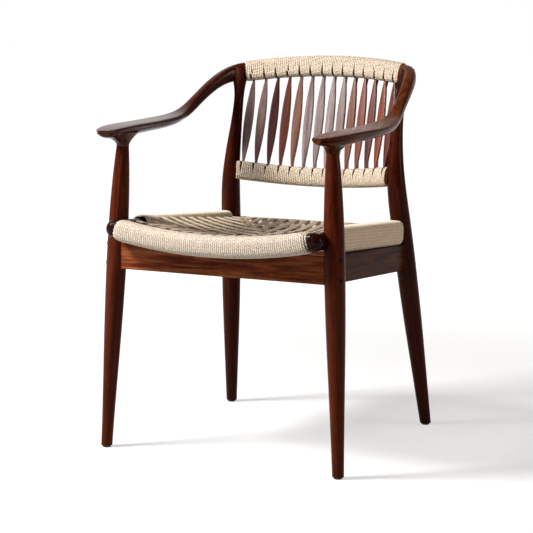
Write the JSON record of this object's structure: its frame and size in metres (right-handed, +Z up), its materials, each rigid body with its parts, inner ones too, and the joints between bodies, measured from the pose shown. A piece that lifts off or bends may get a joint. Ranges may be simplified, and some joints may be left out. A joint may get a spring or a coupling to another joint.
{
  "type": "dining armchair",
  "caption": "Dining armchair with a dark lacquered wood frame, carved arms, a bowed slatted back, cord-wrapped rails and an open woven cord seat.",
  "frame": {"origin": "on the floor, under the middle of the chair's box", "axes": "+Z up, -Y the way the chair faces, +X to the right as seen from the front"},
  "size_m": [0.558, 0.5519, 0.7777],
  "materials": {
    "lacquered_wood": "dark red-brown stain under satin lacquer",
    "cord": "natural undyed twisted cord",
    "glide_plastic": "moulded black"
  },
  "bodies": {
    "root": {"arm_dowel_left": "lacquered_wood", "arm_dowel_right": "lacquered_wood", "arm_left": "lacquered_wood", "arm_right": "lacquered_wood", "back_slat_01": "lacquered_wood", "back_slat_02": "lacquered_wood", "back_slat_03": "lacquered_wood", "back_slat_04": "lacquered_wood", "back_slat_05": "lacquered_wood", "back_slat_06": "lacquered_wood", "back_slat_07": "lacquered_wood", "back_slat_08": "lacquered_wood", "back_slat_09": "lacquered_wood", "back_slat_10": "lacquered_wood", "back_slat_11": "lacquered_wood", "back_slat_12": "lacquered_wood", "back_slat_13": "lacquered_wood", "back_slat_14": "lacquered_wood", "crest_rail": "lacquered_wood", "crest_wrap": "cord", "front_apron": "lacquered_wood", "front_glide_left": "glide_plastic", "front_glide_right": "glide_plastic", "front_leg_left": "lacquered_wood", "front_leg_right": "lacquered_wood", "front_rail_wrap": "cord", "front_seat_rail": "lacquered_wood", "lower_back_rail": "lacquered_wood", "lower_back_wrap": "cord", "peg_plug_lower_left": "lacquered_wood", "peg_plug_lower_right": "lacquered_wood", "peg_plug_upper_left": "lacquered_wood", "peg_plug_upper_right": "lacquered_wood", "rear_apron": "lacquered_wood", "rear_glide_left": "glide_plastic", "rear_glide_right": "glide_plastic", "rear_leg_left": "lacquered_wood", "rear_leg_right": "lacquered_wood", "rear_rail_wrap": "cord", "rear_seat_rail": "lacquered_wood", "seat_strips_across": "cord", "seat_strips_lengthwise": "cord", "side_apron_left": "lacquered_wood", "side_apron_right": "lacquered_wood", "side_rail_wrap_left": "cord", "side_rail_wrap_right": "cord", "side_seat_rail_left": "lacquered_wood", "side_seat_rail_right": "lacquered_wood"}
  },
  "joints": []
}
